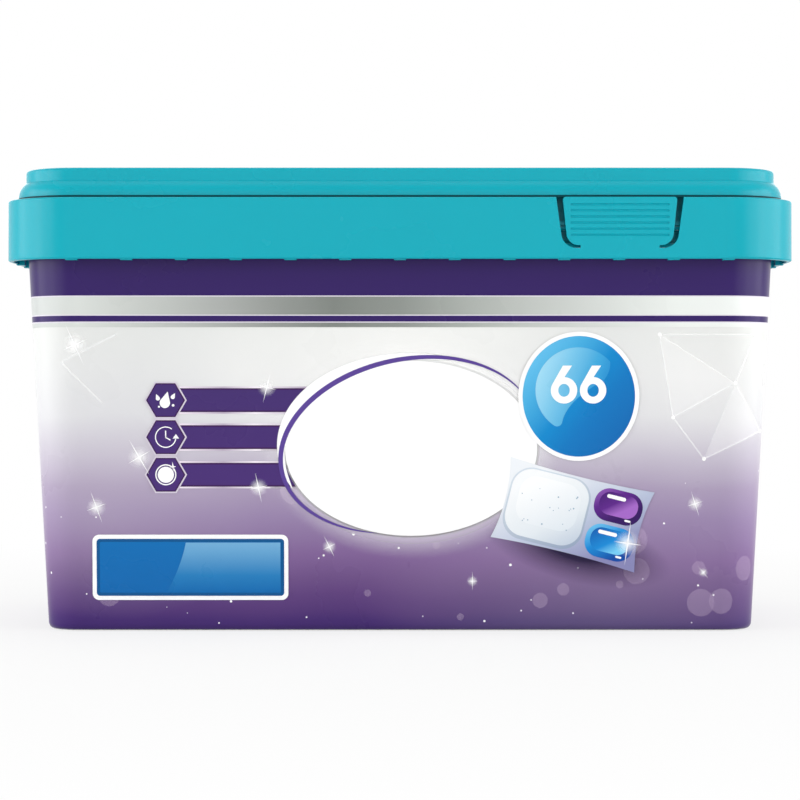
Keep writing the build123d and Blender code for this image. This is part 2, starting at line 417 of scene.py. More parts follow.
def band_arc(centre, radius, thick, start, end, steps=40):
    """Part of a ring of even thickness."""
    outer = arc(centre, (radius, radius), start, end, steps)
    inner = arc(centre, (radius - thick, radius - thick), end, start, steps)
    return outer + inner


def swoosh(centre, radii, start, end, thick, steps=72):
    """A crescent along an ellipse, thickest in its middle and pointed at both ends."""
    outer = arc(centre, radii, start, end, steps)
    inner = []
    for step in range(1, steps):
        angle = math.radians(end + (start - end) * step / steps)
        bite = thick * math.sin(math.pi * step / steps) ** 0.7
        x = centre[0] + (radii[0] - bite) * math.cos(angle)
        z = centre[1] + (radii[1] - bite) * math.sin(angle)
        inner.append((x, z))
    return outer + inner


def hexagon(centre, half):
    return arc(centre, (half, half), 0, 300, 5)


def line(start, end, width):
    """A thin straight line with square ends."""
    along = Vector((end[0] - start[0], end[1] - start[1])).normalized() * width / 2
    across = (-along.y, along.x)
    return [
        (start[0] + across[0], start[1] + across[1]),
        (start[0] - across[0], start[1] - across[1]),
        (end[0] - across[0], end[1] - across[1]),
        (end[0] + across[0], end[1] + across[1]),
    ]


def star(centre, reach, turn=0.0, arms=4, waist=0.07):
    """A thin pointed star, whose arms are long and short by turns."""
    points = []
    for number in range(2 * arms):
        angle = math.radians(turn + 90 + 180 * number / arms)
        far = reach * waist if number % 2 else reach * (1.0 if number % 4 == 0 else 0.62)
        points.append((centre[0] + far * math.cos(angle), centre[1] + far * math.sin(angle)))
    return points


def six(centre, bowl):
    """A plain round 6: its outline, and the hole in its bowl, about the bowl's middle."""
    right = (centre[0] + 0.60 * bowl, centre[1] + 1.87 * bowl)
    left = (centre[0] - 0.09 * bowl, centre[1] + 1.87 * bowl)
    outline = [right] + arc(centre, (bowl, bowl), 88, -204, 56) + [left]
    return [outline, ellipse(centre, (0.435 * bowl, 0.487 * bowl), 40)]


def drop(centre, radius):
    """A drop of liquid, pointed at its top."""
    tip = (centre[0], centre[1] + 2.25 * radius)
    return arc(centre, (radius, radius), 152, 388, 30) + [tip]


# ---------------------------------------------------------------- materials


def wire(tree, kind, links=None, **values):
    """Adds a node, sets its properties and links its inputs by name or number."""
    node = tree.nodes.new(kind)
    for key, value in values.items():
        setattr(node, key, value)
    for key, source in (links or {}).items():
        if isinstance(source, bpy.types.NodeSocket):
            tree.links.new(source, node.inputs[key])
        else:
            node.inputs[key].default_value = source
    return node


def math_node(tree, operation, first, second=0.0, clamp=False):
    node = wire(tree, "ShaderNodeMath", {0: first, 1: second}, operation=operation, use_clamp=clamp)
    return node.outputs[0]


def vector_node(tree, operation, links):
    return wire(tree, "ShaderNodeVectorMath", links, operation=operation)


def object_place(tree):
    return wire(tree, "ShaderNodeTexCoord").outputs["Object"]


def make_surface_group():
    """Fine relief and uneven gloss of moulded or printed plastic."""
    group = bpy.data.node_groups.new("moulded_surface", "ShaderNodeTree")
    for label, default in (("Grain", 900.0), ("Roughness", 0.35), ("Variation", 0.06)):
        socket = group.interface.new_socket(label, in_out="INPUT", socket_type="NodeSocketFloat")
        socket.default_value = default
    for label in ("Roughness", "Height"):
        group.interface.new_socket(label, in_out="OUTPUT", socket_type="NodeSocketFloat")
    start = group.nodes.new("NodeGroupInput")
    end = group.nodes.new("NodeGroupOutput")
    place = object_place(group)
    grain = {"Vector": place, "Scale": start.outputs["Grain"], "Detail": 3.0}
    fine = wire(group, "ShaderNodeTexNoise", grain)
    broad = wire(group, "ShaderNodeTexNoise", {"Vector": place, "Scale": 38.0, "Detail": 4.0})
    centred = math_node(group, "SUBTRACT", broad.outputs[0], 0.5)
    swing = math_node(group, "MULTIPLY", centred, start.outputs["Variation"])
    rough = math_node(group, "ADD", swing, start.outputs["Roughness"])
    group.links.new(rough, end.inputs["Roughness"])
    group.links.new(fine.outputs[0], end.inputs["Height"])


def surface(name, specular, grain=900.0, rough=0.28, variation=0.06, relief=0.02, depth=0.02 * MM):
    """A new material with the moulded surface's gloss and relief."""
    material = bpy.data.materials.new(name)
    material.use_nodes = True
    tree = material.node_tree
    shader = tree.nodes["Principled BSDF"]
    shader.inputs["Specular IOR Level"].default_value = specular
    group = wire(tree, "ShaderNodeGroup", node_tree=bpy.data.node_groups["moulded_surface"])
    group.inputs["Grain"].default_value = grain
    group.inputs["Roughness"].default_value = rough
    group.inputs["Variation"].default_value = variation
    height = {"Strength": relief, "Distance": depth, "Height": group.outputs["Height"]}
    bump = wire(tree, "ShaderNodeBump", height)
    tree.links.new(group.outputs["Roughness"], shader.inputs["Roughness"])
    tree.links.new(bump.outputs["Normal"], shader.inputs["Normal"])
    return material, tree, shader


INK_SPECULAR = 0.2


def plain_ink(name, base, alpha=1.0):
    """One printed colour."""
    material, tree, shader = surface(name, INK_SPECULAR)
    shader.inputs["Base Color"].default_value = (*base, 1)
    shader.inputs["Alpha"].default_value = alpha
    return material


def ramp_stops(ramp, stops):
    """Sets a colour ramp from (place, colour) pairs."""
    elements = ramp.color_ramp.elements
    while len(elements) > 1:
        elements.remove(elements[-1])
    for number, (place, base) in enumerate(stops):
        element = elements[0] if number == 0 else elements.new(place)
        element.position = place
        element.color = (*base, 1)


def fade_colour(tree, direction, low, high, stops, mottle=0.0):
    """A colour that fades along a direction, between two places in millimetres."""
    place = object_place(tree)
    dot = vector_node(tree, "DOT_PRODUCT", {0: place, 1: direction})
    along = dot.outputs["Value"]
    if mottle:
        cloud = wire(tree, "ShaderNodeTexNoise", {"Vector": place, "Scale": 16.0, "Detail": 2.0})
        swing = math_node(tree, "SUBTRACT", cloud.outputs[0], 0.5)
        along = math_node(tree, "ADD", along, math_node(tree, "MULTIPLY", swing, mottle * MM))
    span = {"Value": along, "From Min": low * MM, "From Max": high * MM}
    share = wire(tree, "ShaderNodeMapRange", span).outputs[0]
    ramp = wire(tree, "ShaderNodeValToRGB", {0: share})
    ramp_stops(ramp, stops)
    return ramp.outputs[0]


def fade_ink(name, direction, low, high, stops, mottle=0.0):
    """A printed fade along a direction of the object."""
    material, tree, shader = surface(name, INK_SPECULAR)
    base = fade_colour(tree, direction, low, high, stops, mottle)
    tree.links.new(base, shader.inputs["Base Color"])
    return material


def spot(tree, centre, radii, turn=0.0):
    """A value from 1 at a centre on the front to 0 at the given radii, in millimetres."""
    middle = wall.point(centre[0] * MM, centre[1] * MM, 0)
    mapping = {
        "Vector": object_place(tree),
        "Location": middle,
        "Rotation": (0, math.radians(-turn), 0),
        "Scale": (radii[0] * MM, max(radii) * MM * 2, radii[1] * MM),
    }
    local = wire(tree, "ShaderNodeMapping", mapping, vector_type="TEXTURE")
    far = vector_node(tree, "LENGTH", {0: local.outputs[0]})
    return math_node(tree, "SUBTRACT", 1.0, far.outputs["Value"], clamp=True)


def soft_ink(name, base, centre, radii, strength=1.0, power=1.6, turn=0.0):
    """Print that fades out round a centre, as a glow or a shadow does."""
    material, tree, shader = surface(name, INK_SPECULAR)
    shader.inputs["Base Color"].default_value = (*base, 1)
    fall = math_node(tree, "POWER", spot(tree, centre, radii, turn), power)
    tree.links.new(math_node(tree, "MULTIPLY", fall, strength), shader.inputs["Alpha"])
    return material


def mixed(tree, share, first, second):
    """Two colours mixed by a share that changes over the surface."""
    node = wire(tree, "ShaderNodeMix", {0: share, 6: first, 7: second}, data_type="RGBA")
    return node.outputs[2]


def closure_material():
    """The collar's and lid's coloured plastic."""
    material, tree, shader = surface(
        "closure_plastic", 0.2, grain=1400.0, rough=0.27, variation=0.04, relief=0.05
    )
    cloud = wire(tree, "ShaderNodeTexNoise", {"Vector": object_place(tree), "Scale": 22.0})
    base = colours().closure
    darker = tuple(channel * 0.95 for channel in base)
    mix = mixed(tree, cloud.outputs[0], (*darker, 1), (*base, 1))
    tree.links.new(mix, shader.inputs["Base Color"])
    return material


def powder_material():
    """Pressed white powder with fine coloured grains, under glossy film."""
    material, tree, shader = surface(
        "pac_powder", 0.5, grain=700.0, rough=0.4, variation=0.1, relief=0.35, depth=0.3 * MM
    )
    cells = wire(tree, "ShaderNodeTexVoronoi", {"Vector": object_place(tree), "Scale": 420.0})
    grains = math_node(tree, "LESS_THAN", cells.outputs["Distance"], 0.16)
    tint = wire(tree, "ShaderNodeTexNoise", {"Vector": object_place(tree), "Scale": 160.0})
    some = math_node(tree, "GREATER_THAN", tint.outputs[0], 0.56)
    share = math_node(tree, "MULTIPLY", grains, some)
    base = mixed(tree, share, (*colours().powder, 1), (*ink(96, 140, 196), 1))
    tree.links.new(base, shader.inputs["Base Color"])
    shader.inputs["Coat Weight"].default_value = 0.8
    shader.inputs["Coat Roughness"].default_value = 0.12
    return material


def gel_material(name, base):
    """Clear coloured gel under glossy film, deeper in patches set by a noise."""
    material, tree, shader = surface(name, 0.5, grain=120.0, rough=0.12, variation=0.05, relief=0.2)
    cloud = wire(tree, "ShaderNodeTexNoise", {"Vector": object_place(tree), "Scale": 90.0})
    deeper = tuple(channel * 0.6 for channel in base)
    mix = mixed(tree, cloud.outputs[0], (*deeper, 1), (*base, 1))
    tree.links.new(mix, shader.inputs["Base Color"])
    shader.inputs["Coat Weight"].default_value = 1.0
    shader.inputs["Coat Roughness"].default_value = 0.06
    return material


def film_material():
    """The clear film's flat seam."""
    material, tree, shader = surface("pac_film", 0.5, grain=500.0, rough=0.15, relief=0.3)
    shader.inputs["Base Color"].default_value = (*ink(226, 232, 242), 1)
    shader.inputs["Alpha"].default_value = 0.55
    return material


# ---------------------------------------------------------------- Geometry Nodes


def geometry_tree(name, inputs):
    """A Geometry Nodes tree with a geometry socket at each end and named inputs."""
    tree = bpy.data.node_groups.new(name, "GeometryNodeTree")
    tree.interface.new_socket("Geometry", in_out="INPUT", socket_type="NodeSocketGeometry")
    for label, kind in inputs:
        tree.interface.new_socket(label, in_out="INPUT", socket_type=kind)
    tree.interface.new_socket("Geometry", in_out="OUTPUT", socket_type="NodeSocketGeometry")
    return tree, tree.nodes.new("NodeGroupInput"), tree.nodes.new("NodeGroupOutput")


def finish_tree(tree, geometry, material, end):
    """Ends a tree with real faces in the given material."""
    realized = wire(tree, "GeometryNodeRealizeInstances", {0: geometry})
    links = {"Geometry": realized.outputs[0], "Material": material}
    coated = wire(tree, "GeometryNodeSetMaterial", links)
    tree.links.new(coated.outputs[0], end.inputs[0])


def laid_tree():
    """Puts a shape at each point, turned as the point's turn attribute says."""
    tree, start, end = geometry_tree(
        "laid_on_points", [("Shape", "NodeSocketObject"), ("Material", "NodeSocketMaterial")]
    )
    shape = wire(tree, "GeometryNodeObjectInfo", {"Object": start.outputs["Shape"]})
    turn = wire(tree, "GeometryNodeInputNamedAttribute", {"Name": "turn"}, data_type="FLOAT_VECTOR")
    euler = wire(tree, "FunctionNodeEulerToRotation", {0: turn.outputs[0]})
    laid = wire(
        tree,
        "GeometryNodeInstanceOnPoints",
        {
            "Points": start.outputs["Geometry"],
            "Instance": shape.outputs["Geometry"],
            "Rotation": euler.outputs[0],
        },
    )
    finish_tree(tree, laid.outputs[0], start.outputs["Material"], end)
    return tree


def strewn_tree():
    """Strews a shape over a surface, thinning out upwards, and lays it a little off it."""
    inputs = [("Shape", "NodeSocketObject"), ("Material", "NodeSocketMaterial")]
    for label in ("Density", "Top", "Smallest", "Largest", "Lift"):
        inputs.append((label, "NodeSocketFloat"))
    inputs.append(("Seed", "NodeSocketInt"))
    tree, start, end = geometry_tree("strewn_shapes", inputs)
    given = start.outputs
    height = wire(tree, "GeometryNodeInputPosition").outputs[0]
    up = wire(tree, "ShaderNodeSeparateXYZ", {0: height}).outputs["Z"]
    falling = {"Value": up, "From Max": given["Top"], "To Min": given["Density"], "To Max": 0.0}
    density = wire(tree, "ShaderNodeMapRange", falling).outputs[0]
    points = wire(
        tree,
        "GeometryNodeDistributePointsOnFaces",
        {"Mesh": given["Geometry"], "Density": density, "Seed": given["Seed"]},
    )
    off = vector_node(tree, "SCALE", {0: points.outputs["Normal"], "Scale": MM})
    links = {"Geometry": points.outputs["Points"], "Offset": off.outputs[0]}
    raised = wire(tree, "GeometryNodeSetPosition", links)
    size = wire(tree, "FunctionNodeRandomValue", data_type="FLOAT")
    spread = (("Min", given["Smallest"]), ("Max", given["Largest"]), ("Seed", given["Seed"]))
    for label, socket in spread:
        target = next(s for s in size.inputs if s.name == label and s.enabled)
        tree.links.new(socket, target)
    scale = next(s for s in size.outputs if s.enabled)
    shape = wire(tree, "GeometryNodeObjectInfo", {"Object": given["Shape"]})
    laid = wire(
        tree,
        "GeometryNodeInstanceOnPoints",
        {
            "Points": raised.outputs[0],
            "Instance": shape.outputs["Geometry"],
            "Rotation": points.outputs["Rotation"],
            "Scale": scale,
        },
    )
    real = wire(tree, "GeometryNodeRealizeInstances", {0: laid.outputs[0]})
    nearest = wire(
        tree, "GeometryNodeProximity", {0: given["Geometry"]}, target_element="FACES"
    ).outputs["Position"]
    place = wire(tree, "GeometryNodeInputPosition").outputs[0]
    away = vector_node(tree, "SUBTRACT", {0: place, 1: nearest})
    unit = vector_node(tree, "NORMALIZE", {0: away.outputs[0]})
    lift = vector_node(tree, "SCALE", {0: unit.outputs[0], "Scale": given["Lift"]})
    seat = vector_node(tree, "ADD", {0: nearest, 1: lift.outputs[0]})
    links = {"Geometry": real.outputs[0], "Position": seat.outputs[0]}
    snapped = wire(tree, "GeometryNodeSetPosition", links)
    finish_tree(tree, snapped.outputs[0], given["Material"], end)
    return tree


def run_tree(name, mesh, tree, values):
    """The plain mesh that a Geometry Nodes tree makes from a mesh, with the given inputs."""
    holder = bpy.data.objects.new(name, mesh)
    bpy.context.scene.collection.objects.link(holder)
    modifier = holder.modifiers.new(name, "NODES")
    modifier.node_group = tree
    for item in tree.interface.items_tree:
        if item.in_out == "INPUT" and item.name in values:
            modifier[item.identifier] = values[item.name]
    return settled(holder)


def template(mesh):
    """An object that only lends its mesh to a tree, and is taken away afterwards."""
    holder = bpy.data.objects.new(mesh.name, mesh)
    bpy.context.scene.collection.objects.link(holder)
    return holder


# ---------------------------------------------------------------- operators


class TUB_OT_closure(bpy.types.Operator):
    """Finishes the collar, the press tab and the lid"""

    bl_idname = "tub.closure"
    bl_label = "Collar and lid"

    def execute(self, context):
        material = closure_material()
        for name in ("collar", "press_tab", "lid"):
            node = frame["nodes"][name]
            node.data.materials.clear()
            node.data.materials.append(material)
        self.lining(material)
        self.painted_gap_shade()
        self.bend_strips(material)
        return {"FINISHED"}

    def lining(self, material):
        """The collar's inner skirt, over the ledge, neck and flange seen behind the tab's slots."""
        heights = [110.82, 111.98, 112.02, 113.4, 114.6, 115.4, 115.78, 115.82, 116.98]
        neck = band_mesh("collar_lining", heights, 3)
        add_piece("collar_lining", neck, "tub", CLOSURE, material)

    def painted_gap_shade(self):
        """A near-black band laid round the foot of the lid's shoulder: painted shade for the shadow
        in the gap above the collar.
        """
        low, high = 125.3, 125.95
        shoulder = Wall("lid", low * MM, high * MM)
        base = colours().closure
        # Painted shade: the closure's colour at about a sixth of its brightness, standing in for
        # the gap's shadow.
        dark, _, shader = surface("closure_groove", 0.1, rough=0.5)
        shader.inputs["Base Color"].default_value = (*(channel * 0.16 for channel in base), 1)
        mesh = band_mesh("lid_groove", [low, (low + high) / 2, high], 1, shoulder)
        add_piece("lid_groove", mesh, "lid", CLOSURE, dark)

    def bend_strips(self, material):
        """The living hinge and the tab's root, as strips between two bodies that ride on neither.
        """
        joints = {joint["name"]: joint for joint in frame["joints"]}
        low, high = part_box("hinge_web")
        pivot = Vector(joints["lid_hinge"]["pos_m"])
        thick = 0.5 * MM
        path = []
        for step in range(13):
            angle = math.radians(90 * step / 12)
            y = low.y + (pivot.y - low.y) * math.sin(angle)
            z = low.z - 0.2 * MM + (high.z + 0.45 * MM - low.z) * math.cos(angle)
            path.append((y, z))
        strip = self.strip("hinge_strip", low.x, high.x, path, thick)
        web = add_piece("hinge_strip", strip, None, CLOSURE, material)
        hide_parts("hinge_web")
        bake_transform(web)
        low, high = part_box("tab_root")
        middle = (low.y + high.y) / 2
        path = [(middle, low.z + (high.z - low.z) * step / 6) for step in range(7)]
        strip = self.strip("tab_root_strip", low.x, high.x, path, high.y - low.y)
        root = add_piece("tab_root_strip", strip, None, CLOSURE, material)
        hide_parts("tab_root")
        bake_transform(root)

    def strip(self, name, x_low, x_high, path, thick):
        """A strip of even thickness along a path of (y, z), from x_low to x_high."""
        points = []
        for number, (y, z) in enumerate(path):
            before = path[max(number - 1, 0)]
            after = path[min(number + 1, len(path) - 1)]
            along = Vector((after[0] - before[0], after[1] - before[1])).normalized()
            side = Vector((-along.y, along.x)) * thick / 2
            for x in (x_low, x_high):
                for sign in (1, -1):
                    points.append((x, y + sign * side.x, z + sign * side.y))
        faces = []
        for number in range(len(path) - 1):
            a = number * 4
            b = a + 4
            for first, second in ((0, 1), (1, 3), (3, 2), (2, 0)):
                faces.append((a + first, a + second, b + second, b + first))
        faces.append((0, 2, 3, 1))
        last = (len(path) - 1) * 4
        faces.append((last, last + 1, last + 3, last + 2))
        mesh = mesh_from(name, points, faces)
        outward(mesh)
        return mesh


def outward(mesh):
    """Turns a closed shell's faces to look outwards."""
    shell = bmesh.new()
    shell.from_mesh(mesh)
    bmesh.ops.recalc_face_normals(shell, faces=shell.faces)
    shell.to_mesh(mesh)
    shell.free()


class TUB_OT_pacs(bpy.types.Operator):
    """Fills the tub with pacs of powder and two gel pods in clear film"""

    bl_idname = "tub.pacs"
    bl_label = "Pacs"

    def execute(self, context):
        pac = context.scene.pac_sizes
        points = self.seats(pac.seed)
        tree = laid_tree()
        split = pac.half_length - pac.seam - pac.pod_length
        inner_x = pac.half_length - pac.seam
        inner_y = pac.half_width - pac.seam
        tones = colours()
        pod_x = (-inner_x + pac.pod_length / 2, pac.pod_length / 2)
        pod_y = (inner_y - pac.gap / 2) / 2
        powder_low = -split + pac.gap
        powder_x = ((powder_low + inner_x) / 2, (inner_x - powder_low) / 2)
        pillow = (pac.half_height, pac.half_height)
        pod_height = (pac.half_height * 0.9, pac.half_height * 0.9)
        place_y = pod_y + pac.gap / 2
        powder = powder_material()
        shapes = [("pac_powder", (powder_x[0], 0), (powder_x[1], inner_y), pillow, powder)]
        for tone, y in (("blue", -place_y), ("purple", place_y)):
            gel = gel_material(f"gel_{tone}", getattr(tones, f"gel_{tone}"))
            shapes.append((f"pac_gel_{tone}", (pod_x[0], y), (pod_x[1], pod_y), pod_height, gel))
        whole = (pac.half_length, pac.half_width)
        shapes.append(("pac_seam", (0, 0), whole, (FILM_HALF, FILM_HALF), film_material()))
        for name, middle, half, heights, material in shapes:
            shape = template(self.cushion(name, middle, half, heights))
            mesh = run_tree(name, points.copy(), tree, {"Shape": shape, "Material": material})
            bpy.data.objects.remove(shape)
            piece = add_piece(name, mesh, "tub", FILM)
            if name == "pac_powder":
                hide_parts(*PAC_NODES)
        return {"FINISHED"}

    def cushion(self, name, middle, half, heights, sides=20, rows=5):
        """A closed pillow with a rounded outline, domed above and below its seam."""
        corner = min(half) * 0.55
        outline = []
        for quarter in range(4):
            sign_x = 1 if quarter in (0, 3) else -1
            sign_y = 1 if quarter in (0, 1) else -1
            for step in range(sides // 4):
                angle = math.radians(90 * (quarter + (step + 0.5) / (sides // 4)))
                x = sign_x * (half[0] - corner) + corner * math.cos(angle)
                y = sign_y * (half[1] - corner) + corner * math.sin(angle)
                outline.append((x, y))
        points, faces = [], []
        levels = [90 * row / rows for row in range(-rows + 1, rows)]
        for level in levels:
            shrink = math.cos(math.radians(level)) ** 0.55
            height = heights[0] if level > 0 else heights[1]
            z = height * math.sin(math.radians(level))
            points += [(middle[0] + x * shrink, middle[1] + y * shrink, z) for x, y in outline]
        around = len(outline)
        for row in range(len(levels) - 1):
            for step in range(around):
                here = row * around + step
                side = row * around + (step + 1) % around
                faces.append((here, side, side + around, here + around))
        points.append((middle[0], middle[1], -heights[1]))
        points.append((middle[0], middle[1], heights[0]))
        bottom, top = len(points) - 2, len(points) - 1
        last = (len(levels) - 1) * around
        for step in range(around):
            after = (step + 1) % around
            faces.append((after, step, bottom))
            faces.append((last + step, last + after, top))
        mesh = mesh_from(name, points, faces, True)
        outward(mesh)
        return mesh

    def seats(self, seed):
        """A point at each pac's middle, with the turn that lays a pac as its CAD solid lies."""
        draw = random.Random(seed)
        centres, turns = [], []
        for name in PAC_NODES:
            for points in self.loose_solids(frame["nodes"][name].data):
                middle = (points.min(axis=0) + points.max(axis=0)) / 2
                spread = points - points.mean(axis=0)
                axes = numpy.linalg.eigh(spread.T @ spread)[1]
                along, across = Vector(axes[:, 2]), Vector(axes[:, 1])
                if draw.random() < 0.5:
                    along = -along
                up = along.cross(across)
                if (up.z < 0) == (draw.random() < 0.7):
                    across, up = -across, -up
                turn = Matrix((along, across, up)).transposed().to_euler()
                centres.append(middle)
                turns.append(turn)
        mesh = mesh_from("pac_seats", centres, [])
        attribute = mesh.attributes.new("turn", "FLOAT_VECTOR", "POINT")
        for item, turn in zip(attribute.data, turns):
            item.vector = turn
        return mesh

    def loose_solids(self, mesh):
        """The points of each separate solid in a CAD node's mesh."""
        shell = bmesh.new()
        shell.from_mesh(mesh)
        bmesh.ops.remove_doubles(shell, verts=shell.verts, dist=0.001 * MM)
        waiting = set(shell.verts)
        solids = []
        while waiting:
            reached = [waiting.pop()]
            found = []
            while reached:
                vertex = reached.pop()
                found.append(vertex.co[:])
                for edge in vertex.link_edges:
                    other = edge.other_vert(vertex)
                    if other in waiting:
                        waiting.remove(other)
                        reached.append(other)
            solids.append(numpy.array(found))
        shell.free()
        return solids


class TUB_OT_label(bpy.types.Operator):
    """Prints the bands, badge, ellipse, strips and panel on the tub"""

    bl_idname = "tub.label"
    bl_label = "Printed label"

    GROUND, PATTERN, BAND, SHAPE = 3, 3.6, 5, 6

    def execute(self, context):
        self.inks()
        self.tub_plastic()
        self.ground()
        self.bands()
        self.pattern()
        self.net()
        self.ellipse()
        self.picture()
        self.badge()
        self.strips()
        self.panel()
        self.sparkles()
        return {"FINISHED"}

    def inks(self):
        """The inks that several prints share."""
        tones = colours()
        self.white = plain_ink("ink_white", tones.white)
        self.purple = plain_ink("ink_purple", tones.purple)
        self.violet = plain_ink("ink_violet", ink(90, 66, 148))
        self.pale = plain_ink("ink_pale", ink(216, 208, 222))

    def tub_plastic(self):
        material, _, shader = surface("tub_plastic", 0.35, rough=0.4)
        shader.inputs["Base Color"].default_value = (*colours().plastic, 1)
        node = frame["nodes"]["tub"]
        node.data.materials.clear()
        node.data.materials.append(material)

    def ground(self):
        """The fade from white to purple that covers the tub, lit behind the ellipse."""
        material, tree, shader = surface("print_fade", INK_SPECULAR)
        stops = [
            (0.0, ink(60, 34, 104)),
            (0.03, ink(68, 40, 110)),
            (0.06, ink(82, 52, 116)),
            (0.11, ink(94, 63, 123)),
            (0.16, ink(108, 78, 132)),
            (0.24, ink(128, 98, 149)),
            (0.37, ink(151, 131, 169)),
            (0.46, ink(168, 153, 181)),
            (0.55, ink(194, 187, 202)),
            (0.68, ink(219, 219, 222)),
            (0.82, ink(224, 225, 225)),
            (1.0, ink(226, 228, 225)),
        ]
        base = fade_colour(tree, (0, 0, 1), 0, 92, stops, mottle=9.0)
        pale = (*ink(250, 250, 247), 1)
        for centre, radii, strength in (
            ((2, 78), (62, 40), 0.8),
            ((-46, 74), (30, 22), 0.3),
            ((84, 74), (34, 24), 0.35),
            ((-84, 33), (44, 30), 0.12),
            ((58, 10), (70, 26), 0.08),
        ):
            share = math_node(tree, "MULTIPLY", spot(tree, centre, radii), strength)
            base = mixed(tree, share, base, pale)
        tree.links.new(base, shader.inputs["Base Color"])
        foot = [0.3, 0.45, 0.65, 0.9, 1.2, 1.55, 1.9, 2.3]
        self.heights = foot + [4.5 * step for step in range(1, 25)] + [110.2]
        wrap("print_ground", self.heights, self.GROUND, material)

    def bands(self):
        """The dark band, and the silver bands under it with their thin lines."""
        band, line_low, line_high, thin = 97.2, 89.7, 91.4, 0.3
        wrap("print_band", [band, 102.0, 106.5, 110.4], self.BAND, self.purple)
        wrap("print_line_purple", [line_low, line_high], self.BAND, self.purple)
        pale = plain_ink("ink_pale_line", ink(224, 218, 230))
        for name, low in (("top", band - thin), ("middle", line_high), ("low", line_low - thin)):
            wrap(f"print_line_{name}", [low, low + thin], self.BAND, pale)
        stops = [
            (0.0, ink(200, 204, 202)),
            (0.06, ink(216, 220, 216)),
            (0.14, ink(198, 202, 198)),
            (0.26, ink(170, 173, 170)),
            (0.34, ink(146, 150, 146)),
            (0.41, ink(128, 133, 128)),
            (0.50, ink(142, 147, 142)),
            (0.62, ink(178, 183, 178)),
            (0.74, ink(206, 210, 206)),
            (0.88, ink(236, 240, 236)),
            (1.0, ink(240, 243, 241)),
        ]
        silver = fade_ink("ink_silver", (1, 0, 0), -106, 106, stops)
        wrap("print_silver", [line_high + thin, band - thin], self.BAND, silver)
        wrap("print_silver_low", [88.1, line_low - thin], self.BAND, silver)

    def pattern(self):
        """Soft discs and bright dots strewn all round, thickest near the foot."""
        tree = strewn_tree()
        size = sizes()
        veil = plain_ink("ink_veil", ink(212, 190, 218), alpha=0.2)
        soft = self.round_shape("soft_disc", 24, 4)
        small = self.round_shape("bright_dot", 10, 1)
        for name, shape, material, density, top, smallest, largest, seed in (
            ("print_discs", soft, veil, size.disc_density, 44, 1.0, 4.4, size.seed),
            ("print_dots", small, self.white, size.dot_density, 50, 0.12, 0.42, size.seed + 1),
        ):
            holder = template(shape)
            values = {
                "Shape": holder,
                "Material": material,
                "Density": density,
                "Top": top * MM,
                "Smallest": smallest * MM,
                "Largest": largest * MM,
                "Lift": (self.PATTERN - self.GROUND) * size.lift,
                "Seed": seed,
            }
            mesh = run_tree(name, band_mesh(name, self.heights[5:-5], self.GROUND), tree, values)
            bpy.data.objects.remove(holder)
            sheer(add_piece(name, mesh, "tub", PRINT))

    def round_shape(self, name, sides, rows):
        """A flat disc of radius 1 with rings of faces, so that it can bend round a corner."""
        points = [(0, 0, 0)]
        faces = []
        for row in range(1, rows + 1):
            for step in range(sides):
                angle = 2 * math.pi * step / sides
                points.append((math.cos(angle) * row / rows, math.sin(angle) * row / rows, 0))
        for step in range(sides):
            after = (step + 1) % sides
            faces.append((0, 1 + step, 1 + after))
            for row in range(rows - 1):
                low = 1 + row * sides
                faces.append((low + step, low + sides + step, low + sides + after, low + after))
        return mesh_from(name, points, faces)

    def net(self):
        """A few joined lines and pale facets beside the badge and near the other corner."""
        thread = plain_ink("ink_thread", colours().white, alpha=0.55)
        facet = plain_ink("ink_facet", colours().white, alpha=0.22)
        knots = ((75, 86), (97, 72), (79, 62), (103, 86), (105, 58), (88, 50))
        knots += ((-98, 78), (-82, 86), (-86, 66))
        links = ((0, 1), (1, 2), (2, 0), (1, 3), (0, 3), (1, 4), (2, 5), (4, 5), (6, 7), (6, 8))
        threads = [[line(knots[a], knots[b], 0.3)] for a, b in links]
        printed("print_net", threads, self.PATTERN + 0.5, thread)
        facets = [[[knots[0], knots[1], knots[2]]], [[knots[1], knots[4], knots[5]]]]
        printed("print_facets", facets, self.PATTERN + 0.3, facet)
        points = [[disc(knot, 0.6, 16)] for knot in knots[:6]]
        printed("print_knots", points, self.PATTERN + 0.7, self.white)

    def ellipse(self):
        centre = (3.2, 53.0)
        half = sizes().ellipse_half / MM
        shape = (half, half * 0.694)
        reach = (shape[0] + 7, shape[1] + 7)
        halo = soft_ink("glow_ellipse", colours().white, centre, reach, 3.2, 1.3)
        outer = ellipse(centre, reach)
        printed("print_ellipse_halo", [[outer, ellipse(centre, shape)]], self.BAND, halo)
        greys = [(0.0, ink(150, 148, 150)), (1.0, ink(226, 226, 226))]
        rim = fade_ink("ink_ellipse_rim", (0, 0, 1), 28, 78, greys)
        edge = ellipse(centre, (shape[0] + 0.45, shape[1] + 0.45))
        printed("print_ellipse_rim", [[edge]], self.SHAPE, rim)
        printed("print_ellipse", [[ellipse(centre, shape)]], self.SHAPE + 1, self.white)
        rim = swoosh((2.6, 53.8), (38.2, 26.8), 66, 208, 3.4)
        printed("print_ellipse_outer", [[rim]], self.SHAPE + 1.5, self.white)
        middle = (2.0, 54.2)
        curve = swoosh(middle, (37.7, 25.2), 14, 250, 1.5)
        printed("print_swoosh", [[turned(curve, middle, 12)]], self.SHAPE + 2, self.violet)

